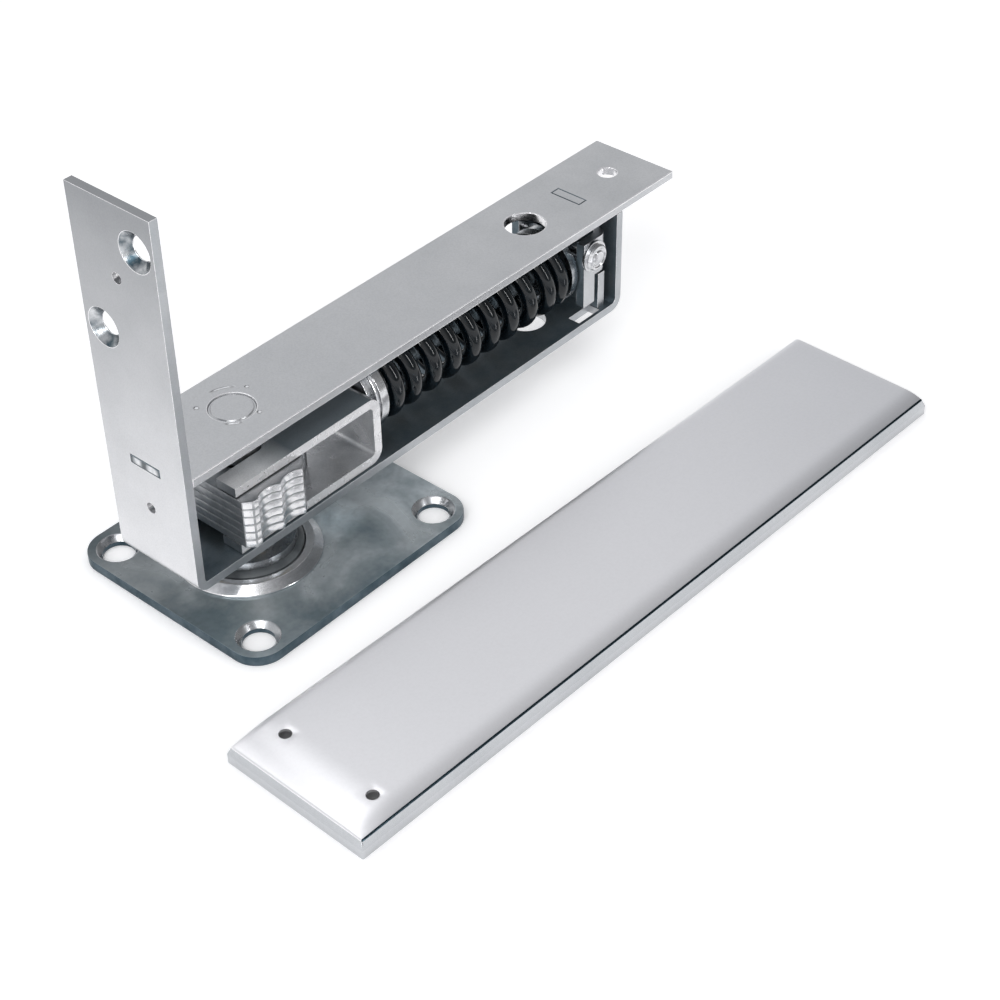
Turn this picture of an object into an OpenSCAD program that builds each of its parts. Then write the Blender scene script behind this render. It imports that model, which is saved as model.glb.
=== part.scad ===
// Floor spring for a swinging door: a floor plate with a fixed cam stack, and a sprung arm frame.
// Millimetres. The origin is on the pivot axis at the underside of the floor plate, +Z is up,
// and the arm runs along +X with the door closed.

/* [Floor plate] */
// Length of the floor plate along the arm
plate_l = 80; // [74:1:96]
// Width of the floor plate
plate_w = 68; // [60:1:84]
// Thickness of the floor plate
plate_t = 3; // [2.5:0.5:5]
// Distance from the pivot to the middle of the floor plate
plate_shift = 10.5; // [6:0.5:14]
// Radius of the plate's corners
plate_corner_r = 8; // [3:1:12]
// Screw spacing along the arm
screw_dx = 64; // [60:1:70]
// Screw spacing across the arm
screw_dy = 52; // [46:1:56]
// Through hole for a floor screw
screw_hole_d = 8.3; // [5:0.1:8.5]
// Countersink of a floor screw
screw_sink_d = 11.5; // [9:0.5:13]

/* [Thrust bearing] */
// Outer radius of the hub cup's rim
cup_rim_r = 17.2; // [16:0.2:20]
// Height of the hub cup above the plate
cup_h = 2.5; // [2.4:0.1:4]
// Radius of the ring of balls
ball_ring_r = 11; // [10.5:0.1:11.4]
// Radius of a thrust ball
ball_r = 1.5; // [1.3:0.1:1.6]
// Number of thrust balls
ball_count = 16; // [8:1:18]

/* [Spindle and cam] */
// Radius of the fixed spindle
spindle_r = 6; // [5.5:0.1:6]
// Half width across the spindle's two flats
flat_half = 4.6; // [4.2:0.1:4.8]
// Thickness of one cam plate
lam_t = 2.4; // [2:0.1:2.4]
// Distance from the pivot to the cam's flat front
cam_front = 13.2; // [12:0.2:15]
// Half width of the cam between its scallops
cam_half_w = 17.3; // [16.5:0.1:17.4]
// Chamfer on the cam's front corners
cam_chamfer = 2; // [1:0.25:3]
// Radius of the two hold-open scallops on each side
scallop_r = 5.7; // [5.3:0.1:6.5]
// Depth of a hold-open scallop
scallop_depth = 1.5; // [1:0.1:1.8]
// How far the yoke travels in a quarter turn
cam_lift = 10; // [6:0.5:10]

/* [Roller and yoke] */
// Radius of the roller
roller_r = 5.2; // [4.6:0.1:5.2]
// Distance from the pivot to the roller with the door closed
roller_x = 16; // [15.5:0.1:16]
// Radius of the roller's pin
roller_pin_r = 2.5; // [2:0.1:2.8]
// Half width of the yoke
yoke_half_w = 13.3; // [11:0.1:13.6]
// Thickness of the yoke
yoke_t = 2.6; // [2:0.1:2.6]
// Outer face of the yoke's back
yoke_back_x = 37.5; // [37.5:0.5:40]
// Half width of the slot in each yoke arm
fork_half = 6.6; // [6.4:0.1:7]

/* [Arm frame] */
// Width of the bent strap and of the top plate
strap_w = 28; // [28:0.5:34]
// Thickness of the bent strap and of the top plate
strap_t = 2.5; // [2:0.25:3]
// Gap between the floor plate and the bottom strap
floor_gap = 11; // [10.5:0.25:14]
// Distance from the pivot to the face of the jamb strap
jamb_x = 28.5; // [27:0.5:34]
// Height of the jamb strap above the floor
jamb_top = 119.7; // [100:0.1:140]
// Distance from the pivot to the outer face of the end wall
end_x = 136.5; // [136.5:0.5:160]
// Clear height inside the arm frame
clear_h = 29.2; // [29.2:0.2:34]
// How far the top plate reaches past the end wall
tail_l = 23; // [15:1:40]
// Outer radius of the bend under the jamb strap
jamb_bend_r = 3.5; // [3:0.25:5]
// Outer radius of the bend under the end wall
end_bend_r = 4; // [3.5:0.25:6]

/* [Frame holes] */
// Sight hole through the top plate and the bottom strap
sight_hole_d = 11.6; // [6:0.1:14]
// Distance from the end wall's outer face back to the sight hole
sight_hole_back = 25.8; // [20:0.1:32]
// Distance from the end wall's outer face to the door screw hole
tail_hole_out = 10.4; // [6:0.1:18]
// Door screw hole in the top plate's overhang
tail_hole_d = 5.5; // [4:0.1:7]
// Through hole for a jamb screw
jamb_hole_d = 6; // [4:0.1:7]
// Countersink of a jamb screw
jamb_sink_d = 10.5; // [8:0.1:11]
// Sideways offset of each jamb screw from the middle line
jamb_hole_side = 7.65; // [0:0.05:8]
// Distance from the top of the jamb strap down to the upper screw
jamb_hole_drop = 10.2; // [8:0.1:16]
// Height between the two jamb screws
jamb_hole_dz = 26.1; // [20:0.1:32]
// Locating hole in the jamb strap
nail_hole_d = 3; // [2:0.1:4]

/* [Spring and guide] */
// Outer radius of the spring
coil_r = 12; // [11:0.1:12]
// Radius of the spring's wire
wire_r = 2.4; // [2:0.1:2.4]
// Turns between the two closed end turns
open_turns = 7.6; // [6:0.1:7.6]
// Radius of the guide rod
rod_r = 3.2; // [2.8:0.1:3.2]
// Distance from the end bracket back to the face that the spring pushes against
seat_back = 10.7; // [10.2:0.1:11.2]
// Distance from the end wall's outer face back to the end bracket
bracket_back = 8.3; // [8.3:0.1:12]

/* [Loose cover] */
// Length of the cover
cover_l = 221; // [180:1:260]
// Width of the cover
cover_w = 45; // [36:0.1:60]
// Height of the cover
cover_h = 6.3; // [5.8:0.1:12]
// Wall of the cover
cover_wall = 1; // [0.8:0.1:1.5]
// Radius of the cover's outer edges
cover_edge_r = 2.5; // [2:0.1:4]
// Screw hole in the cover
cover_hole_d = 3.3; // [3:0.1:5]

/* [Hidden] */
fine = 64;
over = 1;
fit = 0.05;
running = 0.1;
air = 0.3;
pi = 3.14159265;

strap_z = plate_t + floor_gap;
strap_top = strap_z + strap_t;
lid_z = strap_top + clear_h;
lid_top = lid_z + strap_t;
half_w = strap_w / 2;
axis_z = strap_top + clear_h / 2;

yoke_z = strap_top + air;
cam_count = 6;
cam_air = 0.4;
cam_z = yoke_z + yoke_t + cam_air;
cam_top = cam_z + cam_count * lam_t;
yoke_top = cam_top + cam_air + yoke_t;
fork_reach = 13;
fork_end_x = 1;
yoke_bend_r = 4;

cup_floor_t = 1.6;
cup_inner_r = 14.8;
cup_flank = 2.4;
cup_foot_r = cup_rim_r + cup_flank;
cup_foot_t = 0.6;
cup_edge = 0.5;
cup_rim_w = 1.9;
ball_sink = 0.5;
ball_z = plate_t + cup_floor_t + ball_r - ball_sink;
groove_r = ball_r + running;
race_z = ball_z + ball_r - ball_sink;
race_r = 13;
race_hub_r = 10.2;
race_bore_r = spindle_r + air;
race_disc_t = 2.2;
race_slope = 1;
bush_r = 8;
bush_flange_t = 1.2;

collar_r = 8.5;
collar_t = 1.2;
journal_r = 3;
journal_l = 9.5;
rivet_r = 5;
rivet_head_r = 6.5;
rivet_head_h = 1.2;

bracket_t = 2.8;
bracket_x = end_x - bracket_back;
bracket_edge_in = 1.8;
bracket_half_w = half_w - bracket_edge_in;
cheek_in = 0.7;
cheek_face_y = half_w - cheek_in;
cheek_l = 7.8;
cheek_front_x = bracket_x - cheek_l;
cheek_rise = 10.5;
cheek_drop = 1.1;
cheek_top_z = axis_z + cheek_rise;
cheek_low_z = axis_z - cheek_drop;
cheek_relief = 2;
leg_w = 4.8;
leg_drop = 10.1;
leg_low_z = axis_z - leg_drop;
bend_r = 3.3;
tenon_half = 4.9;
lid_tenon_half = 5.2;
slot_front = 1.4;
slot_back = 0.2;
slot_side = 0.4;
slot_w = 3.9;
pin_back = 4.2;
pin_rise = 5.8;
pin_x = bracket_x - pin_back;
pin_z = axis_z + pin_rise;
pin_r = 2;
pin_head_r = 3.9;
washer_r = 4.7;
washer_t = 1;
sleeve_r = 5.2;
seat_step_r = 9.5;
seat_step_t = 1.4;
seat_shoulder_t = 0.8;
seat_shoulder = 0.8;
seat_disc_t = 5;
seat_t = 2.3;
seat_in = 0.5;
spring_end_x = bracket_x - seat_back;
seat_front_x = yoke_back_x;
seat_face_x = seat_front_x + seat_disc_t;
spigot_air = 0.6;
spigot_r = coil_r - 2 * wire_r - spigot_air;
near_spigot_l = 7.5;
far_spigot_l = 6;
rod_start = 4.1;
rod_start_x = yoke_back_x + rod_start;
rod_bore_r = rod_r + running;
rod_tip = 1;
head_rim = 0.9;
head_t = 1;
head_edge = 0.5;
button_t = 1.6;
button_side = 0.7;
button_edge = 0.6;
pin_cap = 1;
pin_cap_t = 0.7;
pin_cap_edge = 0.4;
roller_edge = 0.6;
sight_hole_x = end_x - sight_hole_back;
nail_hole_drop = 19.9;
nail_hole_rise = 20.1;

cover_x = 55.5;
cover_y = -74.8;
cover_turn = -1.6;
cover_hole_x = 11.5;
cover_hole_y = 14.35;

// Small helpers

// A round bar along Z between two heights
module bar_z(r, z0, z1) {
    translate([0, 0, z0])
        cylinder(r = r, h = z1 - z0, $fn = fine);
}

// A round bar along X on the spring's axis between two distances from the pivot
module bar_x(r, x0, x1) {
    translate([x0, 0, axis_z])
        rotate([0, 90, 0])
            cylinder(r = r, h = x1 - x0, $fn = fine);
}

// A block between two opposite corners
module block(low, high) {
    translate(low)
        cube(high - low);
}

// A quarter of a bent strap, about an axis along Y: sx and sz pick the quarter that is kept
module strap_bend(x, z, r_out, t, half, sx, sz) {
    translate([x, 0, z])
        intersection() {
            rotate([90, 0, 0])
                difference() {
                    cylinder(r = r_out, h = 2 * half, center = true, $fn = fine);
                    cylinder(r = r_out - t, h = 2 * half + over, center = true, $fn = fine);
                }
            block([min(0, sx * r_out), -half - over, min(0, sz * r_out)],
                [max(0, sx * r_out), half + over, max(0, sz * r_out)]);
        }
}

// A countersunk screw hole along Z, open upwards, cut from a plate between two heights
module sunk_hole(hole_d, sink_d, z0, z1) {
    depth = (sink_d - hole_d) / 2;
    translate([0, 0, z0 - over])
        cylinder(d = hole_d, h = z1 - z0 + 2 * over, $fn = fine);
    translate([0, 0, z1 - depth])
        cylinder(d1 = hole_d, d2 = sink_d, h = depth, $fn = fine);
    bar_z(sink_d / 2, z1, z1 + over);
}

// Fixed parts

module floor_plate() {
    flat_l = plate_l / 2 - plate_corner_r;
    flat_w = plate_w / 2 - plate_corner_r;
    color("darkgray")
        difference() {
            translate([plate_shift, 0, 0])
                difference() {
                    union() {
                        block([-plate_l / 2, -flat_w, 0], [plate_l / 2, flat_w, plate_t]);
                        block([-flat_l, -plate_w / 2, 0], [flat_l, plate_w / 2, plate_t]);
                        for (sx = [-1, 1], sy = [-1, 1])
                            translate([sx * flat_l, sy * flat_w, 0])
                                cylinder(r = plate_corner_r, h = plate_t, $fn = fine);
                    }
                    for (sx = [-1, 1], sy = [-1, 1])
                        translate([sx * screw_dx / 2, sy * screw_dy / 2, 0])
                            sunk_hole(screw_hole_d, screw_sink_d, 0, plate_t);
                }
            bar_z(rivet_r + fit, -over, plate_t + over);
            translate([0, 0, -over])
                cylinder(r = rivet_head_r + fit, h = rivet_head_h + over + fit, $fn = fine);
        }
}

module hub_cup() {
    floor_z = plate_t + cup_floor_t;
    rim_z = plate_t + cup_h;
    color("silver")
        rotate_extrude($fn = fine)
            difference() {
                polygon([[rivet_r + fit, plate_t], [cup_foot_r, plate_t],
                    [cup_foot_r, plate_t + cup_foot_t], [cup_rim_r + cup_edge, rim_z - cup_edge],
                    [cup_rim_r, rim_z], [cup_rim_r - cup_rim_w, rim_z],
                    [cup_inner_r, rim_z - cup_edge], [cup_inner_r, floor_z],
                    [rivet_r + fit, floor_z]]);
                translate([ball_ring_r, ball_z])
                    circle(r = groove_r, $fn = fine);
            }
}

module thrust_balls() {
    color("white")
        for (i = [0 : ball_count - 1])
            rotate([0, 0, i * 360 / ball_count])
                translate([ball_ring_r, 0, ball_z])
                    sphere(r = ball_r, $fn = 20);
}

// The shape that the spindle's two flats leave, grown by a clearance
module flatted_bar(grow, z0, z1) {
    intersection() {
        bar_z(spindle_r + grow, z0, z1);
        block([-2 * spindle_r, -flat_half - grow, z0], [2 * spindle_r, flat_half + grow, z1]);
    }
}

module spindle() {
    collar_z = plate_t + cup_floor_t;
    color("gray")
        difference() {
            union() {
                bar_z(rivet_head_r, 0, rivet_head_h);
                bar_z(rivet_r, 0, collar_z + fit);
                bar_z(collar_r, collar_z, collar_z + collar_t);
                bar_z(spindle_r, collar_z, cam_z);
                flatted_bar(0, cam_z - fit, cam_top);
            }
            bar_z(journal_r + fit, cam_top - journal_l - air, cam_top + over);
        }
}

// Flank of the cam: the curve left by the roller as its distance grows evenly with the turn
function lift_at(a) = roller_x + cam_lift * a / 90;
function lift_rate() = cam_lift * 2 / pi;
function flank(a, gap) = let (
    d = lift_at(a),
    k = lift_rate(),
    m = sqrt(d * d + k * k))
    [d * cos(a) - gap * (k * sin(a) + d * cos(a)) / m,
     d * sin(a) + gap * (k * cos(a) - d * sin(a)) / m];

valley_gap = roller_r + air;
flank_end = 66.5;
flank_steps = 16;
valley_half = acos(roller_x / sqrt(roller_x * roller_x + lift_rate() * lift_rate()));
valley_steps = 4;
cusp_back = 10;

function flank_side(s) = [for (i = [0 : flank_steps])
    let (p = flank(i * flank_end / flank_steps, valley_gap)) [p[0], s * p[1]]];
function valley() = [for (i = [1 - valley_steps : valley_steps - 1])
    let (a = 180 - i * valley_half / valley_steps)
    [roller_x + valley_gap * cos(a), valley_gap * sin(a)]];
function reversed(list) = [for (i = [len(list) - 1 : -1 : 0]) list[i]];
function cam_outline() = concat(
    valley(),
    flank_side(1),
    [[-cusp_back, cam_half_w], [cam_chamfer - cam_front, cam_half_w],
     [-cam_front, cam_half_w - cam_chamfer], [-cam_front, cam_chamfer - cam_half_w],
     [cam_chamfer - cam_front, -cam_half_w], [-cusp_back, -cam_half_w]],
    reversed(flank_side(-1)));

// Centres of the two scallops on a side, spaced by the chord that their depth gives
scallop_half_chord = sqrt(scallop_r * scallop_r - pow(scallop_r - scallop_depth, 2));
scallop_first_x = flank(flank_end, valley_gap)[0] - scallop_half_chord;
scallop_y = cam_half_w + scallop_r - scallop_depth;

module cam_plate(i) {
    z0 = cam_z + i * lam_t;
    color("dimgray")
        difference() {
            translate([0, 0, z0])
                linear_extrude(lam_t)
                    polygon(cam_outline());
            flatted_bar(fit, z0 - over, z0 + lam_t + over);
            for (s = [-1, 1], j = [0, 1])
                translate([scallop_first_x - 2 * j * scallop_half_chord, s * scallop_y, 0])
                    bar_z(scallop_r, z0 - over, z0 + lam_t + over);
        }
}

// Parts that turn with the door

module upper_race() {
    seat_z = strap_z - bush_flange_t;
    color("silver")
        rotate_extrude($fn = fine)
            difference() {
                polygon([[race_bore_r, race_z], [race_r, race_z], [race_r, race_z + race_disc_t],
                    [race_hub_r, race_z + race_disc_t + race_slope], [race_hub_r, seat_z],
                    [race_bore_r, seat_z]]);
                translate([ball_ring_r, ball_z])
                    circle(r = groove_r, $fn = fine);
            }
}

module bottom_bush() {
    color("goldenrod")
        rotate_extrude($fn = fine)
            polygon([[spindle_r + fit, strap_z - bush_flange_t],
                [race_hub_r, strap_z - bush_flange_t], [race_hub_r, strap_z],
                [bush_r, strap_z], [bush_r, strap_top], [spindle_r + fit, strap_top]]);
}

// A countersunk hole through the jamb strap at a distance across and a height
module jamb_hole(y, z) {
    translate([-jamb_x + strap_t, y, z])
        rotate([0, -90, 0])
            sunk_hole(jamb_hole_d, jamb_sink_d, 0, strap_t);
}

module frame_strap() {
    wall_x = end_x - strap_t;
    slot_y = cheek_face_y - slot_side;
    color("lightgray")
        difference() {
            union() {
                block([-jamb_x, -half_w, strap_z + jamb_bend_r],
                    [strap_t - jamb_x, half_w, jamb_top]);
                strap_bend(jamb_bend_r - jamb_x, strap_z + jamb_bend_r, jamb_bend_r, strap_t,
                    half_w, -1, -1);
                block([jamb_bend_r - jamb_x, -half_w, strap_z],
                    [end_x - end_bend_r, half_w, strap_top]);
                strap_bend(end_x - end_bend_r, strap_z + end_bend_r, end_bend_r, strap_t,
                    half_w, 1, -1);
                block([wall_x, -half_w, strap_z + end_bend_r], [end_x, half_w, lid_z]);
            }
            bar_z(bush_r + fit, strap_z - over, strap_top + over);
            translate([sight_hole_x, 0, 0])
                bar_z(sight_hole_d / 2, strap_z - over, strap_top + over);
            block([cheek_front_x - slot_front, -slot_y, strap_z - over],
                [bracket_x - slot_back, slot_w - slot_y, strap_top + over]);
            block([bracket_x - fit, -tenon_half - fit, strap_z - over],
                [bracket_x + bracket_t + fit, tenon_half + fit, strap_top + over]);
            block([-jamb_x - over, -lid_tenon_half - fit, lid_z - fit],
                [strap_t - jamb_x + over, lid_tenon_half + fit, lid_top + fit]);
            jamb_hole(-jamb_hole_side, jamb_top - jamb_hole_drop);
            jamb_hole(jamb_hole_side, jamb_top - jamb_hole_drop - jamb_hole_dz);
            for (z = [jamb_top - nail_hole_drop, strap_z + nail_hole_rise])
                translate([-jamb_x - over, 0, z])
                    rotate([0, 90, 0])
                        cylinder(d = nail_hole_d, h = strap_t + 2 * over, $fn = fine);
        }
}

module top_plate() {
    color("lightgray")
        difference() {
            union() {
                block([strap_t - jamb_x, -half_w, lid_z], [end_x + tail_l, half_w, lid_top]);
                block([-jamb_x, -lid_tenon_half, lid_z],
                    [strap_t - jamb_x, lid_tenon_half, lid_top - running]);
            }
            bar_z(spindle_r + fit, lid_z - over, lid_top + over);
            translate([sight_hole_x, 0, 0])
                bar_z(sight_hole_d / 2, lid_z - over, lid_top + over);
            translate([end_x + tail_hole_out, 0, 0])
                bar_z(tail_hole_d / 2, lid_z - over, lid_top + over);
            block([bracket_x - fit, -tenon_half - fit, lid_z - over],
                [bracket_x + bracket_t + fit, tenon_half + fit, lid_top + over]);
        }
}

module top_pivot() {
    color("gray")
        union() {
            bar_z(spindle_r, cam_top + air, lid_top);
            bar_z(journal_r, cam_top - journal_l, cam_top + air);
        }
}

// The near cheek of the end bracket, with its hanging leg
module cheek() {
    inner_y = cheek_face_y - bracket_t;
    bend_x = bracket_x + bracket_t - bend_r;
    block([cheek_front_x, -cheek_face_y, cheek_low_z], [bend_x, -inner_y, cheek_top_z]);
    block([cheek_front_x, -cheek_face_y, leg_low_z],
        [cheek_front_x + leg_w, -inner_y, cheek_low_z]);
    translate([bend_x, bend_r - cheek_face_y, cheek_low_z])
        intersection() {
            difference() {
                cylinder(r = bend_r, h = cheek_top_z - cheek_low_z, $fn = fine);
                translate([0, 0, -over])
                    cylinder(r = bend_r - bracket_t, h = clear_h, $fn = fine);
            }
            block([0, -bend_r, 0], [bend_r, 0, clear_h]);
        }
}

module end_bracket() {
    plate_edge = bracket_half_w;
    bend_y = cheek_face_y - bend_r;
    color("lightgray")
        difference() {
            union() {
                block([bracket_x, -bend_y, strap_top], [bracket_x + bracket_t, bend_y, lid_z]);
                block([bracket_x, -plate_edge, strap_top],
                    [bracket_x + bracket_t, plate_edge, cheek_low_z - cheek_relief]);
                block([bracket_x, -tenon_half, strap_z],
                    [bracket_x + bracket_t, tenon_half, lid_top]);
                cheek();
                mirror([0, 1, 0])
                    cheek();
            }
            bar_x(rod_bore_r, bracket_x - over, bracket_x + bracket_t + over);
            translate([pin_x, 0, pin_z])
                rotate([90, 0, 0])
                    cylinder(r = pin_r + fit, h = 2 * strap_w, center = true, $fn = fine);
        }
}

module far_seat() {
    color("darkgray")
        difference() {
            union() {
                bar_x(coil_r - seat_in, spring_end_x, spring_end_x + seat_t);
                bar_x(spigot_r, spring_end_x - far_spigot_l, spring_end_x);
                bar_x(sleeve_r, spring_end_x, bracket_x);
            }
            bar_x(rod_bore_r, spring_end_x - far_spigot_l - over, bracket_x + over);
            translate([pin_x, 0, pin_z])
                rotate([90, 0, 0])
                    cylinder(r = pin_r + running, h = strap_w, center = true, $fn = fine);
        }
}

module guide_rod() {
    head_x = bracket_x + bracket_t;
    color("silver")
        union() {
            bar_x(rod_r, rod_start_x + rod_tip, head_x + fit);
            translate([rod_start_x, 0, axis_z])
                rotate([0, 90, 0])
                    cylinder(r1 = rod_r - rod_tip, r2 = rod_r, h = rod_tip, $fn = fine);
            bar_x(sleeve_r, head_x, end_x - strap_t - air);
        }
}

// The pin across the bracket, headed on the near side and riveted on the far side
module cross_pin() {
    head_y = cheek_face_y + washer_t;
    color("silver")
        translate([pin_x, 0, pin_z])
            rotate([90, 0, 0])
                rotate_extrude($fn = fine)
                    polygon([[0, -cheek_face_y - head_t],
                        [pin_r + head_rim - head_edge, -cheek_face_y - head_t],
                        [pin_r + head_rim, head_edge - cheek_face_y - head_t],
                        [pin_r + head_rim, -cheek_face_y], [pin_r, -cheek_face_y],
                        [pin_r, head_y], [pin_head_r, head_y],
                        [pin_head_r, head_y + button_side],
                        [pin_head_r - button_edge, head_y + button_t - button_edge / 2],
                        [pin_head_r - 2 * button_edge, head_y + button_t],
                        [0, head_y + button_t]]);
}

module pin_washer() {
    color("white")
        translate([pin_x, -cheek_face_y, pin_z])
            rotate([90, 0, 0])
                difference() {
                    cylinder(r = washer_r, h = washer_t, $fn = fine);
                    translate([0, 0, -over])
                        cylinder(r = pin_r + fit, h = washer_t + 2 * over, $fn = fine);
                }
}

// Spring: one unbroken tube along a helix, with a closed turn at each end

tube_sides = 6;
rings_per_turn = 8;
close_pitch = 2 * wire_r + 0.5;
coil_mid_r = coil_r - wire_r;
coil_start_x = seat_face_x + wire_r;
coil_end_x = spring_end_x - wire_r;
coil_turns = open_turns + 2;
open_pitch = (coil_end_x - coil_start_x - 2 * close_pitch) / open_turns;
ring_count = round(coil_turns * rings_per_turn);

function advance(t) = t < 1 ? t * close_pitch
    : t > coil_turns - 1 ? close_pitch + open_turns * open_pitch + (t - coil_turns + 1) * close_pitch
    : close_pitch + (t - 1) * open_pitch;
function coil_at(t) = [coil_start_x + advance(t), coil_mid_r * cos(360 * t),
    axis_z + coil_mid_r * sin(360 * t)];
function coil_out(t) = [0, cos(360 * t), sin(360 * t)];
coil_rings = [for (i = [0 : ring_count])
    let (t = i * coil_turns / ring_count)
    for (j = [0 : tube_sides - 1])
        let (a = 360 * (j + 0.5) / tube_sides)
        coil_at(t) + wire_r * (cos(a) * coil_out(t) + sin(a) * [1, 0, 0])];
coil_faces = concat(
    [for (i = [0 : ring_count - 1], j = [0 : tube_sides - 1])
        let (a = i * tube_sides + j, b = i * tube_sides + (j + 1) % tube_sides)
        [a, b, b + tube_sides]],
    [for (i = [0 : ring_count - 1], j = [0 : tube_sides - 1])
        let (a = i * tube_sides + j, b = i * tube_sides + (j + 1) % tube_sides)
        [a, b + tube_sides, a + tube_sides]],
    [for (j = [1 : tube_sides - 2]) [0, j + 1, j]],
    [for (j = [1 : tube_sides - 2])
        [ring_count * tube_sides, ring_count * tube_sides + j, ring_count * tube_sides + j + 1]]);

// Least gap from the tube to its own next turns, measured on points of its centre line
gap_points = [for (i = [0 : 4 * ring_count]) coil_at(i * coil_turns / (4 * ring_count))];
gap_skip = 2 * rings_per_turn;
least_gap = min([for (i = [0 : len(gap_points) - 1 - gap_skip])
    min([for (j = [i + gap_skip : min(i + 6 * rings_per_turn, len(gap_points) - 1)])
        norm(gap_points[i] - gap_points[j])])]) - 2 * wire_r;
echo(spring_least_gap_mm = least_gap);

module spring() {
    color("black")
        polyhedron(points = coil_rings, faces = coil_faces);
}

// Parts that slide with the yoke

module yoke() {
    back_in = yoke_back_x - yoke_t;
    bend_x = yoke_back_x - yoke_bend_r;
    color("lightgray")
        difference() {
            union() {
                for (z = [yoke_z, yoke_top - yoke_t])
                    block([-fork_reach, -yoke_half_w, z], [bend_x, yoke_half_w, z + yoke_t]);
                block([back_in, -yoke_half_w, yoke_z + yoke_bend_r],
                    [yoke_back_x, yoke_half_w, yoke_top - yoke_bend_r]);
                strap_bend(bend_x, yoke_z + yoke_bend_r, yoke_bend_r, yoke_t, yoke_half_w, 1, -1);
                strap_bend(bend_x, yoke_top - yoke_bend_r, yoke_bend_r, yoke_t, yoke_half_w, 1, 1);
            }
            translate([fork_end_x, 0, 0])
                bar_z(fork_half, yoke_z - over, yoke_top + over);
            block([-fork_reach - over, -fork_half, yoke_z - over],
                [fork_end_x, fork_half, yoke_top + over]);
            translate([roller_x, 0, 0])
                bar_z(roller_pin_r + fit, yoke_z - over, yoke_top + over);
            bar_x(rod_r + air, back_in - over, yoke_back_x + over);
        }
}

module near_seat() {
    shoulder_x = seat_front_x + seat_step_t;
    color("silver")
        difference() {
            union() {
                bar_x(seat_step_r, seat_front_x, shoulder_x);
                bar_x(coil_r - seat_shoulder, shoulder_x, shoulder_x + seat_shoulder_t);
                bar_x(coil_r, shoulder_x + seat_shoulder_t, seat_face_x);
                bar_x(spigot_r, seat_face_x, seat_face_x + near_spigot_l);
            }
            bar_x(rod_bore_r, seat_front_x - over, seat_face_x + near_spigot_l + over);
        }
}

module roller_pin() {
    color("silver")
        translate([roller_x, 0, 0])
            union() {
                bar_z(roller_pin_r, yoke_z, yoke_top + fit);
                translate([0, 0, yoke_top])
                    cylinder(r1 = roller_pin_r + pin_cap, r2 = roller_pin_r + pin_cap_edge,
                        h = pin_cap_t, $fn = fine);
            }
}

module roller() {
    low = yoke_z + yoke_t + air;
    high = yoke_top - yoke_t - air;
    color("gray")
        translate([roller_x, 0, 0])
            rotate_extrude($fn = fine)
                polygon([[roller_pin_r + fit, low], [roller_r - roller_edge, low],
                    [roller_r, low + roller_edge], [roller_r, high - roller_edge],
                    [roller_r - roller_edge, high], [roller_pin_r + fit, high]]);
}

// A block with rounded upright corners and rounded top edges, standing on the floor
module soft_block(l, w, h, r) {
    block([-l / 2, r - w / 2, 0], [l / 2, w / 2 - r, h - r]);
    block([r - l / 2, -w / 2, 0], [l / 2 - r, w / 2, h - r]);
    block([r - l / 2, r - w / 2, 0], [l / 2 - r, w / 2 - r, h]);
    for (sx = [-1, 1], sy = [-1, 1])
        translate([sx * (l / 2 - r), sy * (w / 2 - r), 0]) {
            cylinder(r = r, h = h - r, $fn = fine);
            translate([0, 0, h - r])
                sphere(r = r, $fn = 32);
        }
    for (sy = [-1, 1])
        translate([r - l / 2, sy * (w / 2 - r), h - r])
            rotate([0, 90, 0])
                cylinder(r = r, h = l - 2 * r, $fn = fine);
    for (sx = [-1, 1])
        translate([sx * (l / 2 - r), w / 2 - r, h - r])
            rotate([90, 0, 0])
                cylinder(r = r, h = w - 2 * r, $fn = fine);
}

module side_cover() {
    color("gainsboro")
        translate([cover_x, cover_y, 0])
            rotate([0, 0, cover_turn])
                difference() {
                    soft_block(cover_l, cover_w, cover_h, cover_edge_r);
                    translate([0, 0, -over])
                        soft_block(cover_l - 2 * cover_wall, cover_w - 2 * cover_wall,
                            cover_h - cover_wall + over, cover_edge_r - cover_wall);
                    for (s = [-1, 1])
                        translate([cover_hole_x - cover_l / 2, s * cover_hole_y, 0])
                            bar_z(cover_hole_d / 2, -over, cover_h + over);
                }
}

floor_plate();
hub_cup();
thrust_balls();
spindle();
cam_plate(0);  // cam_plate_1
cam_plate(1);  // cam_plate_2
cam_plate(2);  // cam_plate_3
cam_plate(3);  // cam_plate_4
cam_plate(4);  // cam_plate_5
cam_plate(5);  // cam_plate_6
upper_race();
frame_strap();
top_plate();
top_pivot();
bottom_bush();
end_bracket();
far_seat();
guide_rod();
cross_pin();
pin_washer();
spring();
yoke();
near_seat();
roller_pin();
roller();
side_cover();
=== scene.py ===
# %% [markdown]
# # A floor spring for a swinging door
# A steel plate is screwed to the floor and carries a cam. A sprung arm turns round it and carries the
# door. A loose polished cover lies beside them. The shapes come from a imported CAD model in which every
# subcomponent is a node that moves with its own body. This lesson keeps those shapes and places, and adds
# what a maker's drawing leaves out: softened edges, wound wire, staking marks and real finishes.

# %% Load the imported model
import math

import bmesh
import bpy
from mathutils import Matrix, Vector


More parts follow.
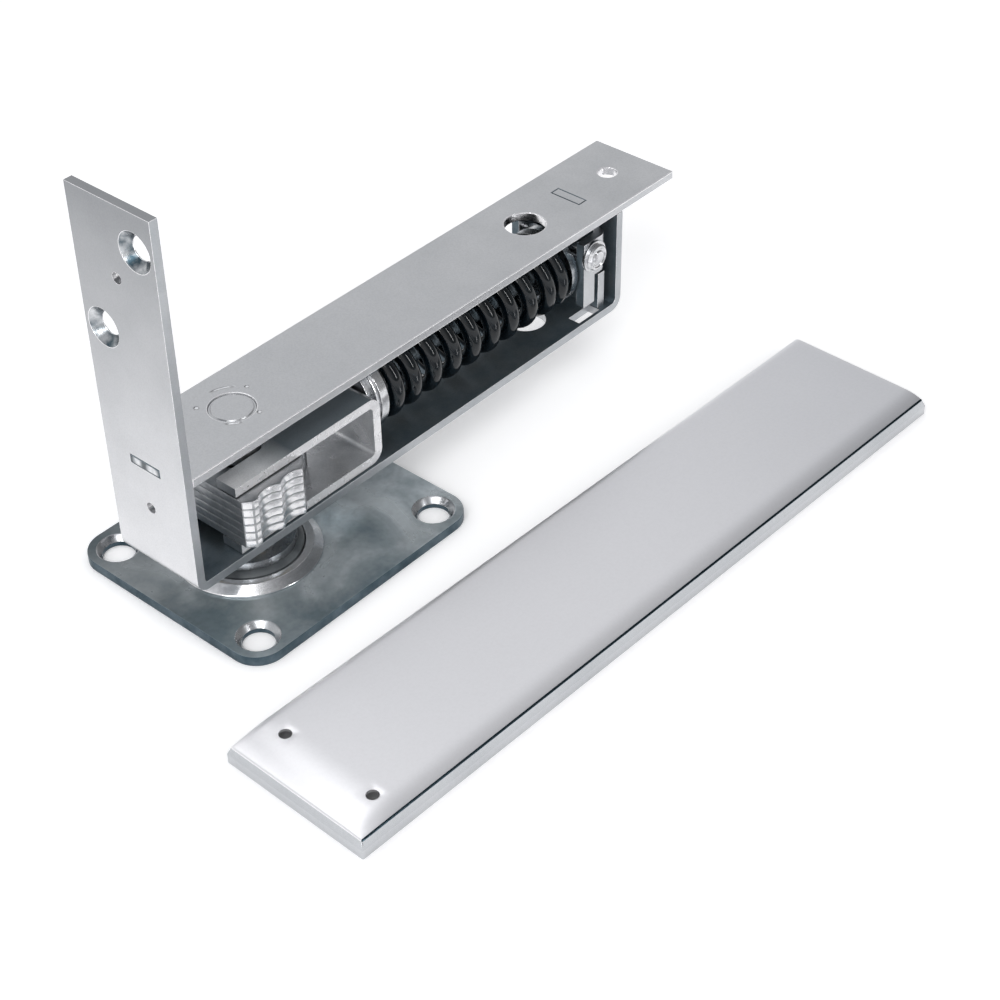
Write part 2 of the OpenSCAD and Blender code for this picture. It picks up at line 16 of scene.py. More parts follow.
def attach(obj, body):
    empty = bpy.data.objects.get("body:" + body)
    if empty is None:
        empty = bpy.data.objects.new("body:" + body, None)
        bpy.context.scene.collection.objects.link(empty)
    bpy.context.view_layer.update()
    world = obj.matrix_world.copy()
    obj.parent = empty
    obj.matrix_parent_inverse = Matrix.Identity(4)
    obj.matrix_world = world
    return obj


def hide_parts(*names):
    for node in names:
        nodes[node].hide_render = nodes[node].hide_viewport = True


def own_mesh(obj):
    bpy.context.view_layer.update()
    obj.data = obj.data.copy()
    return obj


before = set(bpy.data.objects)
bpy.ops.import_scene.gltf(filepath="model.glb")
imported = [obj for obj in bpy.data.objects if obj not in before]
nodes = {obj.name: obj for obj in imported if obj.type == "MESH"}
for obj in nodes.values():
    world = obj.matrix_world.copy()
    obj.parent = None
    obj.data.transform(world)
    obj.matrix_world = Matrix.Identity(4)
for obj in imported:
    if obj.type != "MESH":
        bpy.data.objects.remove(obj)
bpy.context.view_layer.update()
MM = 0.001

# %% [markdown]
# ## Camera
# The picture is taken from above the jamb side of the arm, with a long lens. The place and the three
# directions of the camera were found by fitting the straight edges of the frame, so they are written
# here as numbers. A camera looks along its own minus Z, so its third direction points back at the viewer.

# %% Camera
eye = Vector((-0.268537, -0.324858, 0.354418))
right = Vector((0.654964, -0.755550, -0.012881)).normalized()
up = Vector((0.481831, 0.404433, 0.777350)).normalized()
camera_data = bpy.data.cameras.new("camera")
camera_data.sensor_width = 36
camera_data.lens = 75.918
camera_data.clip_start, camera_data.clip_end = 0.02, 20
camera = bpy.data.objects.new("camera", camera_data)
camera.matrix_world = Matrix.Translation(eye) @ Matrix((right, up, right.cross(up))).transposed().to_4x4()
bpy.context.scene.collection.objects.link(camera)
bpy.context.scene.camera = camera
bpy.context.scene.view_settings.view_transform = "Standard"
print("camera at", [round(v, 3) for v in eye], "lens", camera_data.lens)

# %% [markdown]
# ## Helpers for nodes
# The sky, the floor and every finish are trees of nodes. Each helper here adds one node to the tree of
# its owner, which is a world or a material, feeds it, and gives back what comes out. A recipe then reads
# like a sum, and the same few helpers serve them all. The places that they measure are Object
# coordinates, in metres, so that a pattern stays in the metal when the piece moves.

# %% Helpers for nodes
def add(owner, kind):
    """A new node of this kind in the owner's tree."""
    return owner.node_tree.nodes.new("ShaderNode" + kind)


def feed(owner, source, socket):
    """Links an output to an input."""
    owner.node_tree.links.new(source, socket)


def calc(owner, operation, first, second=None, number=0.0):
    """Arithmetic on one or two values, or on a value and a number."""
    made = add(owner, "Math")
    made.operation = operation
    made.inputs[1].default_value = number
    feed(owner, first, made.inputs[0])
    if second is not None:
        feed(owner, second, made.inputs[1])
    return made.outputs[0]


def vector_calc(owner, operation, vector, other=(0, 0, 0)):
    """A value from a vector: its length, its distance to a point or its part along a direction."""
    made = add(owner, "VectorMath")
    made.operation = operation
    made.inputs[1].default_value = other
    feed(owner, vector, made.inputs[0])
    return made.outputs["Value"]


def spread(owner, value, low, high, out_low, out_high):
    """The value, mapped from one range to another and held inside it."""
    made = add(owner, "MapRange")
    for socket, number in zip(made.inputs[1:5], (low, high, out_low, out_high)):
        socket.default_value = number
    feed(owner, value, made.inputs[0])
    return made.outputs[0]


def ramp(owner, value, stops):
    """Colours along a value: stops are (place, colour)."""
    made = add(owner, "ValToRGB")
    elements = made.color_ramp.elements
    while len(elements) < len(stops):
        elements.new(0.5)
    for element, (place, colour) in zip(elements, stops):
        element.position = place
        element.color = (*colour, 1)
    feed(owner, value, made.inputs[0])
    return made.outputs[0]


# %% Helpers for places and rays
def place_on(owner):
    """A point's place on the object, in metres."""
    return add(owner, "TexCoord").outputs["Object"]


def along(owner, axis, vector):
    """One of the three numbers of a vector."""
    made = add(owner, "SeparateXYZ")
    feed(owner, vector, made.inputs[0])
    return made.outputs[axis]


def seen_ray(owner):
    """A value that is 1 for rays that look straight, by reflection or through glass."""
    path = add(owner, "LightPath").outputs
    glossy = calc(owner, "MAXIMUM", path["Is Camera Ray"], path["Is Glossy Ray"])
    return calc(owner, "MAXIMUM", glossy, path["Is Transmission Ray"])


# %% [markdown]
# ## Floor, sky and lamps
# Metal shows what stands round it, so the room matters as much as the lamps. The sky is white near the
# horizon, greyer higher up and darkest on one side, as in a studio tent with a dark flag beside it. That
# makes level faces darker than upright ones and draws a shade along rounded edges. Camera rays see plain
# white. The floor is white paper that keeps soft shadows. Light Path adds a little light to it for
# camera, glossy and transmission rays only, more of it far away so that the floor meets the sky without
# a line, and Ambient Occlusion keeps that light out of the corners.

# %% Sky
FLAG_SIDE = (0.65, -0.76, 0.0)
HIGH_SKY = (0.63, 0.64, 0.66)
LIT_BY_SKY, SEEN_SKY = 0.62, 1.0

world = bpy.data.worlds.new("studio_tent")
bpy.context.scene.world = world
world.use_nodes = True
toward = add(world, "TexCoord").outputs["Generated"]
overhead = ramp(world, along(world, "Z", toward), [(0.28, (1, 1, 1)), (0.62, HIGH_SKY)])
flag = spread(world, vector_calc(world, "DOT_PRODUCT", toward, FLAG_SIDE), 0.08, 0.6, 1.0, 0.3)
flagged = add(world, "VectorMath")
flagged.operation = "SCALE"
feed(world, overhead, flagged.inputs[0])
feed(world, flag, flagged.inputs["Scale"])
backdrop = add(world, "Mix")
backdrop.data_type = "RGBA"
backdrop.inputs[7].default_value = (1, 1, 1, 1)
feed(world, add(world, "LightPath").outputs["Is Camera Ray"], backdrop.inputs[0])
feed(world, flagged.outputs[0], backdrop.inputs[6])
background = world.node_tree.nodes["Background"]
feed(world, backdrop.outputs[2], background.inputs["Color"])
feed(world, spread(world, seen_ray(world), 0, 1, LIT_BY_SKY, SEEN_SKY), background.inputs["Strength"])
print("sky:", world.name)

# %% Floor
PAPER = (0.86, 0.86, 0.87, 1)
LIFT, FAR_LIFT = 0.52, 1.5
HALF_FLOOR = 3

paper = bpy.data.materials.new("white_paper")
paper.use_nodes = True
paper.node_tree.nodes.remove(paper.node_tree.nodes["Principled BSDF"])
matt = add(paper, "BsdfDiffuse")
matt.inputs["Color"].default_value = PAPER
corner = add(paper, "AmbientOcclusion")
corner.samples = 8
corner.inputs["Distance"].default_value = 0.02
farther = spread(paper, vector_calc(paper, "LENGTH", place_on(paper)), 0.4, 1.6, 1.0, FAR_LIFT)
lift = calc(paper, "MULTIPLY", seen_ray(paper), number=LIFT)
lift = calc(paper, "MULTIPLY", lift, farther)
lift = calc(paper, "MULTIPLY", lift, corner.outputs["AO"])
glow = add(paper, "Emission")
feed(paper, lift, glow.inputs["Strength"])
both = add(paper, "AddShader")
feed(paper, matt.outputs[0], both.inputs[0])
feed(paper, glow.outputs[0], both.inputs[1])
feed(paper, both.outputs[0], paper.node_tree.nodes["Material Output"].inputs["Surface"])
bm = bmesh.new()
bmesh.ops.create_grid(bm, x_segments=1, y_segments=1, size=HALF_FLOOR)
floor_mesh = bpy.data.meshes.new("floor")
bm.to_mesh(floor_mesh)
bm.free()
floor_mesh.materials.append(paper)
floor = bpy.data.objects.new("floor", floor_mesh)
bpy.context.scene.collection.objects.link(floor)
print("floor:", floor.name, 2 * HALF_FLOOR, "m wide")

# %% Lamps
MIDDLE_OF_OBJECT = Vector((0.06, -0.03, 0.04))


def soft_lamp(name, place, size, watts, tall=None):
    """A lamp with a square or oblong face that looks at the middle of the object."""
    lamp = bpy.data.lights.new(name, "AREA")
    lamp.size, lamp.energy = size, watts
    if tall:
        lamp.shape, lamp.size_y = "RECTANGLE", tall
    holder = bpy.data.objects.new(name, lamp)
    holder.location = place
    holder.rotation_euler = (MIDDLE_OF_OBJECT - Vector(place)).to_track_quat("-Z", "Y").to_euler()
    bpy.context.scene.collection.objects.link(holder)
    print("lamp", name, watts, "W")


soft_lamp("window_left", (-0.9, -0.5, 1.1), 0.9, 7.7)
soft_lamp("window_behind", (0.20, 0.60, 1.13), 0.45, 0.9, 0.5)
soft_lamp("strip_left", (-1.2, -0.38, 0.42), 0.05, 2.6, 0.9)
soft_lamp("strip_right", (0.35, -1.2, 0.55), 0.06, 3.6, 0.8)

# %% [markdown]
# ## Finishes
# Plated steel is never one even grey. Its colour drifts in soft blotches, it has a fine grain from the
# rolled sheet, and its roughness changes with both. Each finish starts from a Principled shader, and
# small helpers add noise, bump and tints.

# %% Helpers for finishes
def start_finish(name, colour, metal=1.0, rough=0.3):
    """A new material, with its Principled shader set to plain values."""
    finish = bpy.data.materials.new(name)
    finish.use_nodes = True
    shader = shader_of(finish)
    shader.inputs["Base Color"].default_value = (*colour, 1)
    shader.inputs["Metallic"].default_value = metal
    shader.inputs["Roughness"].default_value = rough
    return finish


def shader_of(finish):
    """The finish's Principled shader."""
    return finish.node_tree.nodes["Principled BSDF"]


def use(finish, socket, value):
    """Feeds a value to a socket of the finish's shader."""
    feed(finish, value, shader_of(finish).inputs[socket])


def noise(finish, lump, detail=3.0, stretch=(1, 1, 1), twist=0.0):
    """Soft noise with lumps of about this many mm."""
    mapping = add(finish, "Mapping")
    mapping.inputs["Scale"].default_value = stretch
    feed(finish, place_on(finish), mapping.inputs["Vector"])
    pattern = add(finish, "TexNoise")
    pattern.inputs["Scale"].default_value = 1 / (lump * MM)
    pattern.inputs["Detail"].default_value = detail
    pattern.inputs["Distortion"].default_value = twist
    feed(finish, mapping.outputs[0], pattern.inputs["Vector"])
    return pattern.outputs[0]


def times(finish, first, second):
    """Two colours multiplied."""
    made = add(finish, "Mix")
    made.data_type, made.blend_type = "RGBA", "MULTIPLY"
    made.inputs[0].default_value = 1
    feed(finish, first, made.inputs[6])
    feed(finish, second, made.inputs[7])
    return made.outputs[2]


def tint(finish, colour):
    """Multiplies the colour that the finish has so far."""
    so_far = shader_of(finish).inputs["Base Color"].links[0].from_socket
    use(finish, "Base Color", times(finish, so_far, colour))


def emboss(finish, value, depth, strength=0.5, under=None):
    """A bump of this depth in mm, over another bump if one is given."""
    made = add(finish, "Bump")
    made.inputs["Strength"].default_value = strength
    made.inputs["Distance"].default_value = depth * MM
    feed(finish, value, made.inputs["Height"])
    if under is not None:
        feed(finish, under, made.inputs["Normal"])
    use(finish, "Normal", made.outputs[0])


def grey(level):
    """A cool grey of zinc and steel, which is bluer where it is darker."""
    deep = math.exp(-level / 0.19)
    return (level * (1.01 - 0.6 * deep), level, level * (1.01 + 0.38 * deep))


# %% [markdown]
# ### Rolled and plated steel
# One recipe serves most of the sheet: blotches a few millimetres wide move the colour between two greys,
# and a fine grain gives the bump. Noise stays near its middle value, so the colours are set close to it.
# The numbers make it the satin frame, the inside of the frame painted dark as shade, the edges painted
# bright as highlights, or the ground steel of pins and seats.

# %% Rolled and plated steel
def plated(
    name, dark, light, blotch=6.0, rough=(0.3, 0.45), grain=0.35, depth=0.02, bite=0.5, metal=1.0,
    stretch=(1, 1, 1),
):
    """Metal whose colour drifts between two greys in blotches, with a fine grain. Blotch, grain and depth
    are in mm, and bite is how strongly the grain shows."""
    finish = start_finish(name, grey(light), metal, rough[0])
    drift = noise(finish, blotch, 4.0)
    fine = noise(finish, grain, 2.0, stretch)
    use(finish, "Base Color", ramp(finish, drift, [(0.32, grey(dark)), (0.68, grey(light))]))
    tint(finish, ramp(finish, fine, [(0.30, (1 - 0.24 * bite,) * 3), (0.62, (1.0,) * 3)]))
    use(finish, "Roughness", spread(finish, drift, 0.3, 0.7, rough[1], rough[0]))
    emboss(finish, fine, depth, bite)
    return finish


satin = plated("frame_satin_zinc", 0.57, 0.62, 14.0, (0.32, 0.42), grain=0.4, bite=0.35)
lid_satin = plated("lid_satin_zinc", 0.58, 0.62, 14.0, (0.32, 0.42), grain=0.4, bite=0.35)
# Painted highlight for bevelled edges and cut sides.
edge_highlight = plated("frame_edge_painted_highlight", 0.84, 0.94, 3.0, (0.18, 0.3))
# Painted shade for faces inside the frame, under the top plate and inside the spring.
inside = plated("frame_inside_painted_shade", 0.15, 0.26, 9.0, (0.3, 0.5), grain=0.5, depth=0.03, metal=0.75)
ground = plated("ground_pin_steel", 0.55, 0.78, 2.5, (0.14, 0.28), grain=0.25, depth=0.01)
cam_dark = plated("cam_punched_steel", 0.46, 0.66, 3.0, (0.3, 0.5), grain=0.3, depth=0.03, stretch=(1, 1, 4))
cam_bright = plated("cam_rolled_bright", 0.88, 1.0, 2.0, (0.15, 0.28), grain=0.3, depth=0.01)
race_steel = plated("race_turned_steel", 0.36, 0.52, 3.0, (0.2, 0.35), grain=0.25, depth=0.01)
print("steels:", [finish.name for finish in (satin, edge_highlight, inside, ground, cam_dark, cam_bright)])

# %% [markdown]
# ### Staking marks
# Round the pivot the top plate was struck with a round tool and a punch. The marks are small arcs and
# dots. Each is a place in the metal, so they are drawn with distances in Object coordinates: near a
# ring round the pivot and near a point at once is an arc, and near a point alone is a dot.

# %% Staking marks on the top plate
LID_TOP = 48.2
MARKS = (  # x, y, radius of the ring round the pivot that an arc follows, half length, all in mm
    (3.8, 7.8, 8.6, 3.6), (-4.0, -4.8, 6.9, 2.4), (8.3, 3.4, None, 0.7), (-5.9, 6.4, None, 0.8),
    (3.0, -6.6, None, 0.7),
)
MARK_DEPTH = 0.35


def distance(finish, point):
    """How far the surface is from a point given in mm."""
    return vector_calc(finish, "DISTANCE", place_on(finish), Vector(point) * MM)


def near_to(finish, away, full, none):
    """1 up to a distance in mm and 0 beyond another."""
    return spread(finish, away, full * MM, none * MM, 1, 0)


struck = None
for x, y, ring, half_length in MARKS:
    mark = near_to(lid_satin, distance(lid_satin, (x, y, LID_TOP)), half_length / 2, half_length)
    if ring:
        off = calc(lid_satin, "SUBTRACT", distance(lid_satin, (0, 0, LID_TOP)), number=ring * MM)
        line = near_to(lid_satin, calc(lid_satin, "ABSOLUTE", off), 0.15, 0.45)
        mark = calc(lid_satin, "MULTIPLY", mark, line)
    struck = mark if struck is None else calc(lid_satin, "MAXIMUM", struck, mark)
grain_bump = shader_of(lid_satin).inputs["Normal"].links[0].from_socket
emboss(lid_satin, calc(lid_satin, "MULTIPLY", struck, number=-1.0), MARK_DEPTH, 0.8, grain_bump)
# The tint paints shade round each mark and a highlight in its middle.
tint(lid_satin, ramp(lid_satin, struck, [(0.0, (1,) * 3), (0.5, (0.62,) * 3), (1.0, (1.5,) * 3)]))
print(len(MARKS), "marks in", lid_satin.name)

# %% [markdown]
# ### Turned and upset ends
# A countersink is cut by a turning tool. Its cone is painted in broken light and dark patches, as a
# painted reflection of the room. The end of the tenon in the jamb strap is painted dark as shade in its
# slot, with two bright spots drawn with distances, as the staking marks are.

# %% Countersinks and the upset end of the tenon
# Painted reflection in the countersinks, and painted shade over the tenon's end.
countersink = plated("countersink_painted_reflection", 0.08, 0.62, 3.2, (0.16, 0.3), grain=0.3, bite=0.3)
tenon_end = plated("tenon_end_painted_shade", 0.5, 0.7, 1.5, (0.25, 0.4))
spots = calc(
    tenon_end, "MAXIMUM",
    near_to(tenon_end, distance(tenon_end, (-28.5, 2.7, 47.0)), 0.6, 1.9),
    near_to(tenon_end, distance(tenon_end, (-28.5, -2.5, 46.6)), 1.2, 2.4),
)
tint(tenon_end, ramp(
    tenon_end, spots, [(0.0, (0.20, 0.22, 0.23)), (0.3, (0.55, 0.57, 0.58)), (1.0, (1.15,) * 3)]
))
print("finishes", countersink.name, "and", tenon_end.name)

# %% [markdown]
# ### The jamb strap
# The upright strap is the same sheet, but it is painted from blue grey at the top to nearly white near
# the floor, as a painted reflection of the bright floor: a slow ramp along Z in Object coordinates.
# Its cut side is painted bright as lit, and the cut side of the strap below it is painted duller as shaded.

# %% Jamb strap finish
jamb = plated("jamb_zinc_painted_reflection", 0.68, 0.73, 16.0, (0.32, 0.42), grain=0.4, bite=0.3)
# The two cut sides are one sheet, painted lighter and darker as lit and shaded copies.
strap_side = plated("strap_cut_side_painted_shade", 0.45, 0.51, 8.0, (0.32, 0.42), grain=0.4, bite=0.35)
jamb_side = plated("jamb_cut_side_painted_light", 0.93, 1.0, 5.0, (0.25, 0.35), grain=0.4, bite=0.3, metal=0.5)
# Painted reflection of the floor: lighter towards the bottom.
painted_floor_reflection = spread(jamb, along(jamb, "Z", place_on(jamb)), 0.02, 0.118, 0, 1)
tint(jamb, ramp(jamb, painted_floor_reflection, [(0.0, (1, 1, 1)), (0.4, (0.82, 0.825, 0.83)), (1.0, (0.46, 0.47, 0.48))]))
print("finishes", jamb.name, "and", jamb_side.name)

# %% [markdown]
# ### Floor plate
# Dull zinc has clouds, like frost on a window, over small dark spots. Two noises of different sizes make
# them. The plate is painted lighter and darker in bands across the picture, as a reflection of the room,
# and it is lighter in a patch beside the pivot. Its countersinks are bright, and its cut side is nearly
# black.

# %% Floor plate finish
ACROSS = (0.655, -0.756, 0)
LIGHTER_AT = (22, -8, 3)
CLOUDS = [(0.36, (0.21, 0.27, 0.30)), (0.50, (0.39, 0.45, 0.48)), (0.63, (0.65, 0.71, 0.74))]
REFLECTION_BANDS = [(0.0, (0.42,) * 3), (0.33, (0.98,) * 3), (0.65, (0.76,) * 3), (1.0, (1.05,) * 3)]


def across(finish, low, high):
    """0 to 1 between two places in metres along a level line that runs to the right in the picture."""
    return spread(finish, vector_calc(finish, "DOT_PRODUCT", place_on(finish), ACROSS), low, high, 0, 1)


zinc = start_finish("floor_blotchy_zinc", grey(0.5), 0.4, 0.3)
clouds = noise(zinc, 22.0, 5.0, twist=0.6)
specks = noise(zinc, 1.6, 3.0)
use(zinc, "Base Color", ramp(zinc, clouds, CLOUDS))
# Painted reflection: bands of light and dark across the picture.
tint(zinc, ramp(zinc, across(zinc, -0.025, 0.045), REFLECTION_BANDS))
# Lighter in a patch beside the pivot.
tint(zinc, ramp(zinc, near_to(zinc, distance(zinc, LIGHTER_AT), 2, 10), [(0.0, (1, 1, 1)), (1.0, (2.3,) * 3)]))
tint(zinc, ramp(zinc, specks, [(0.3, (0.88,) * 3), (0.6, (1, 1, 1))]))
use(zinc, "Roughness", spread(zinc, clouds, 0.3, 0.7, 0.40, 0.24))
emboss(zinc, specks, 0.02, 0.4)
zinc_ring = plated("countersink_bright_zinc", 0.50, 0.64, 3.0, (0.2, 0.35))
zinc_side = plated("floor_plate_cut_side", 0.08, 0.15, 5.0, (0.35, 0.5))
print("finishes", zinc.name, "and", zinc_ring.name)

# %% [markdown]
# ### Cup, grease and bush
# The cup round the pivot is chromed. Its flank is painted darker, as shade, on the side turned away from
# the lamps, and the inside of its hollow is painted dark as shade. The bush behind it is turned brass.
# Chrome is the plated recipe with little grain and low roughness.

# %% Cup, grease and bush finishes
chrome = plated("cup_chrome", 0.84, 0.96, 5.0, (0.12, 0.2), grain=0.8, depth=0.006, metal=0.8)
cup_flank = plated("cup_flank_chrome", 0.84, 0.98, 4.0, (0.16, 0.26), grain=0.8, depth=0.006)
# Painted shade: the flank darkens towards the side turned away from the lamps.
flank_painted_shade = across(cup_flank, 0.004, 0.017)
tint(cup_flank, ramp(cup_flank, flank_painted_shade, [(0.0, (1, 1, 1)), (1.0, (0.50, 0.53, 0.55))]))
# Painted shade inside the cup's hollow.
cup_hollow_shade = plated("cup_hollow_painted_shade", 0.07, 0.16, 3.0, (0.2, 0.45), grain=0.5, depth=0.03)
grease = start_finish("cup_grey_grease", grey(0.14), 0.0, 0.35)
smear = noise(grease, 5.0, 2.0)
use(grease, "Base Color", ramp(grease, smear, [(0.3, (0.06, 0.068, 0.074)), (0.7, (0.13, 0.142, 0.150))]))
use(grease, "Roughness", spread(grease, smear, 0.3, 0.7, 0.3, 0.45))
emboss(grease, smear, 0.05, 0.3)
brass = start_finish("bush_turned_brass", (0.72, 0.53, 0.24), 1.0, 0.25)
rings = noise(brass, 1.2, 3.0)
use(brass, "Base Color", ramp(brass, rings, [(0.3, (0.60, 0.42, 0.18)), (0.7, (0.78, 0.60, 0.30))]))
use(brass, "Roughness", spread(brass, rings, 0.3, 0.7, 0.2, 0.36))
emboss(brass, rings, 0.01, 0.3)
print("finishes:", chrome.name, cup_flank.name, grease.name, brass.name)

# %% [markdown]
# ### Spring
# The spring is black and oily. Black metal shows nothing but what it mirrors, so its roughness is low,
# and the two strip lamps draw thin bright arcs along its turns. A thin film of oil mirrors less than
# bare metal does: a Metallic of 0 and an IOR a little under 1.5 give that.

# %% Spring finish
black = start_finish("spring_black_oiled", (0.012, 0.013, 0.015), 0.0, 0.2)
film = noise(black, 4.0, 4.0)
shader_of(black).inputs["IOR"].default_value = 1.44
use(black, "Base Color", ramp(black, film, [(0.35, (0.001, 0.003, 0.005)), (0.75, (0.005, 0.010, 0.014))]))
use(black, "Roughness", spread(black, film, 0.3, 0.7, 0.06, 0.15))
emboss(black, noise(black, 1.1, 2.0), 0.03, 0.35)
print("finish", black.name)

# %% [markdown]
# ### Cover
# The cover is polished, with hardly any grain. Its colour is painted a little lighter at the near end and
# darker towards its far end, as light and shade, with a slow ramp along X. Its two side facets mirror the
# floor and are painted darker than its top, as shaded copies of the same steel, and one crisp edge is
# painted nearly black as a reflection of the dark flag.

# %% Cover finishes
polished = plated(
    "cover_polished_steel", 0.90, 0.93, 60.0, (0.28, 0.33), grain=0.8, depth=0.001, bite=0.1, metal=0.75,
)
# Painted light and shade along the cover's length.
lengthwise = spread(polished, along(polished, "X", place_on(polished)), -0.055, 0.166, 0, 1)
tint(polished, ramp(
    polished, lengthwise, [(0.0, (1.05, 1.05, 1.06)), (0.5, (1.02, 1.02, 1.03)), (1.0, (0.84, 0.85, 0.87))]
))
# The side facets and walls are darker copies of the polished steel: painted shade.
cover_facet = plated("cover_side_facet", 0.50, 0.56, 30.0, (0.2, 0.28), grain=1.0, depth=0.002, bite=0.15)
cover_wall = plated("cover_side_wall", 0.54, 0.60, 30.0, (0.18, 0.24), grain=1.0, depth=0.002, bite=0.15)
# Painted reflection of the dark flag along one crisp edge.
cover_reflection_line = plated("cover_edge_painted_reflection", 0.05, 0.09, 6.0, (0.15, 0.25))
cover_inside = plated("cover_pressed_inside", 0.45, 0.6, 8.0, (0.35, 0.5))
print("finishes:", polished.name, cover_facet.name, cover_wall.name)

# %% [markdown]
# ## Helpers for pieces
# A CAD mesh is a set of loose triangles with knife-sharp edges. Real sheet has edges that are rounded by
# a few tenths of a millimetre, and they catch the light. So most pieces start from a copy of a node: its
# triangles are joined, flat areas become single faces, and the outer corners are bevelled. A rule picks
# the finish of each face from its middle, in mm, and the way it points, and another rule picks the
# finish of the bevels.

# %% Helpers for pieces
SMOOTH_BELOW = math.radians(32)
FLAT_BELOW = math.radians(0.6)
BEVEL_ABOVE = math.radians(40)
WELD = 0.001


def piece_from(bm, name, body, slot, finishes, *replaced, wall=0):
    """Makes the object, smooths it between its sharp edges, gives it a wall in mm if one is asked for,
    and hands it to its body."""
    for edge in bm.edges:
        edge.smooth = len(edge.link_faces) == 2 and edge.calc_face_angle() < SMOOTH_BELOW
    for face in bm.faces:
        face.smooth = True
    mesh = bpy.data.meshes.new(name)
    bm.to_mesh(mesh)
    bm.free()
    for finish in finishes:
        mesh.materials.append(finish)
    piece = bpy.data.objects.new(name, mesh)
    bpy.context.scene.collection.objects.link(piece)
    if wall:
        sheet = piece.modifiers.new("sheet", "SOLIDIFY")
        sheet.thickness, sheet.offset, sheet.use_even_offset = wall * MM, -1, True
        sheet.material_offset = len(finishes) - 1
    even = piece.modifiers.new("even_normals", "WEIGHTED_NORMAL")
    even.keep_sharp = True
    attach(piece, body)
    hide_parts(*replaced)
    print(name, len(mesh.polygons), "faces")
    return piece


def joined(node, weld=WELD):
    """A node's surface with its triangles joined, points nearer than weld mm made one, and its flat
    areas made whole."""
    bm = bmesh.new()
    bm.from_mesh(nodes[node].data)
    bmesh.ops.remove_doubles(bm, verts=bm.verts, dist=weld * MM)
    bmesh.ops.dissolve_limit(bm, angle_limit=FLAT_BELOW, verts=bm.verts, edges=bm.edges)
    return bm


def rubbed(bm, width, segments=2, leave=None):
    """Bevels the outer corners by a width in mm and gives the new faces. leave(edge) tells which corners
    stay sharp."""
    corners = [
        edge for edge in bm.edges
        if len(edge.link_faces) == 2 and edge.is_convex and edge.calc_face_angle() > BEVEL_ABOVE
        and not (leave and leave(edge))
    ]
    return bmesh.ops.bevel(
        bm, geom=corners, offset=width * MM, offset_type="OFFSET", affect="EDGES",
        segments=segments, profile=0.5, material=-1, clamp_overlap=leave is None,
    )["faces"]


def dressed(
    node, name, body, slot, finishes, width=0.25, face_rule=None, edge_rule=None, segments=2, leave=None,
    weld=WELD,
):
    """A bevelled copy of a node that stands for it. Without a face rule it has its first finish, and
    without an edge rule a bevel keeps the finish beside it."""
    bm = joined(node, weld)
    for face in bm.faces:
        finish = face_rule(face.calc_center_median() / MM, face.normal) if face_rule else finishes[0]
        face.material_index = finishes.index(finish)
    for face in rubbed(bm, width, segments, leave):
        if edge_rule:
            face.material_index = finishes.index(edge_rule(face.calc_center_median() / MM))
    return piece_from(bm, name, body, slot, finishes, node)


def turned(profile, centre, axis, out, steps=96, closed=False):
    """Spins (along, radius) points in mm round an axis through a centre."""
    bm = bmesh.new()
    centre, axis, out = Vector(centre) * MM, Vector(axis), Vector(out)
    line = [bm.verts.new(centre + axis * a * MM + out * r * MM) for a, r in profile]
    pairs = list(zip(line, line[1:])) + ([(line[-1], line[0])] if closed else [])
    edges = [bm.edges.new(pair) for pair in pairs]
    bmesh.ops.spin(
        bm, geom=line + edges, cent=centre, axis=axis, angle=math.tau, steps=steps, use_merge=True
    )
    bmesh.ops.remove_doubles(bm, verts=bm.verts, dist=WELD * MM)
    bmesh.ops.recalc_face_normals(bm, faces=bm.faces)
    return bm


# %% [markdown]
# ## Fixed parts on the floor
# The plate's countersinks are cut through the zinc, so their cones are brighter than its face: a cone's
# normal points partly up, which tells it from the face and the sides. The cup is chromed outside, and
# the inside of its hollow is painted dark as shade.

# %% Floor plate and cup
CUP_HOLLOW_RADIUS, CUP_FLANK_RADIUS, CUP_HOLLOW_TOP = 15.2, 17.3, 5.2


def plate_rule(centre, normal):
    if abs(normal.z) < 0.3:
        return zinc_side
    return zinc_ring if 0.3 < normal.z < 0.95 else zinc


def cup_rule(centre, normal):
    radius = math.hypot(centre.x, centre.y)
    # The inside of the hollow takes the finish painted dark as shade.
    if radius < CUP_HOLLOW_RADIUS and centre.z < CUP_HOLLOW_TOP:
        return cup_hollow_shade
    return cup_flank if radius > CUP_FLANK_RADIUS else chrome


dressed(
    "floor_plate", "floor_plate_zinc", "base", "floor_zinc", [zinc, zinc_ring, zinc_side], 0.3, plate_rule
)
dressed("hub_cup", "hub_cup_chromed", "base", "cup_chrome", [chrome, cup_hollow_shade, cup_flank], 0.2, cup_rule)

# %% [markdown]
# ## Grease
# Grease squeezes out of the bearing and fills the cup round the race in a low ring with a soft brow. It
# is a closed profile, spun round the pivot.

# %% Grease in the cup
GREASE = [(4.62, 8.7), (4.62, 14.7), (5.5, 14.7), (6.1, 14.1), (6.3, 13.4), (6.45, 12.5), (6.45, 8.7)]
packed = turned(GREASE, (0, 0, 0), (0, 0, 1), (1, 0, 0), closed=True)
piece_from(packed, "bearing_grease", "base", "race_steel", [grease])

# %% [markdown]
# ## Cam
# The cam is six punched plates. Their fronts stay dark, while the roller keeps the corners and scallops
# bright, and each plate's edge is a little rounded, so the stack shows fine lines. The points between
# the scallops stay sharp, because a bevel that is wider than their short facets would cross itself.

# %% Cam plates
CAM_PLATES, CAM_BEVEL, CAM_WELD = 6, 0.32, 0.2
FLANK_Y, FRONT_X, SCALLOPS_FROM_X = 14.9, -13.1, -10.5


def cam_rule(centre, normal):
    rolled = abs(centre.y) > FLANK_Y and abs(normal.z) < 0.5 and centre.x > FRONT_X
    return cam_bright if rolled else cam_dark


def scallop_corner(edge):
    """An upright corner behind the front."""
    low, high = edge.verts
    return abs(low.co.z - high.co.z) > 1 * MM and low.co.x > SCALLOPS_FROM_X * MM


